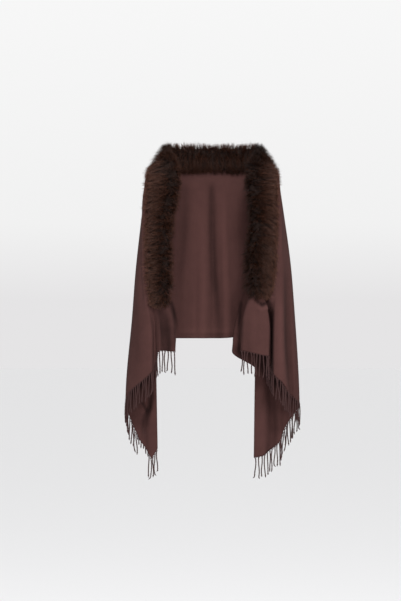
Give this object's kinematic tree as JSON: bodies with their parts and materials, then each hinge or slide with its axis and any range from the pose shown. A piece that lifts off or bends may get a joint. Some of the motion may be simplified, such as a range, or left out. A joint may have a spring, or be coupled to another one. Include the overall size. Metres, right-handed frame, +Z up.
{
  "type": "fur-trimmed shawl",
  "caption": "Long rectangular shawl hanging in its worn, hollow form, with a fur collar strip down both fronts and twisted fringe at the ends.",
  "frame": {"origin": "between the shoulders, at the height where the shawl rests on its wearer", "axes": "+Z up, -Y to the front, +X to the right seen from the front"},
  "size_m": [0.634, 0.2403, 1.2157],
  "materials": {
    "cloth": "brushed twill, matt",
    "fur": "long soft pile",
    "fringe": "twisted yarn"
  },
  "bodies": {
    "root": {"shawl_back": "cloth", "shawl_left_pleat": "cloth", "shawl_right_pleat": "cloth", "shawl_left_tail": "cloth", "shawl_right_tail": "cloth", "shawl_left_side": "cloth", "shawl_right_side": "cloth", "shawl_left_end": "cloth", "shawl_right_end": "cloth", "fur_back": "fur", "fur_left": "fur", "fur_right": "fur", "fringe_left_end": "fringe", "fringe_left_side": "fringe", "fringe_left_corner": "fringe", "fringe_left_tail": "fringe", "fringe_right_end": "fringe", "fringe_right_side": "fringe", "fringe_right_tail": "fringe"}
  },
  "joints": []
}
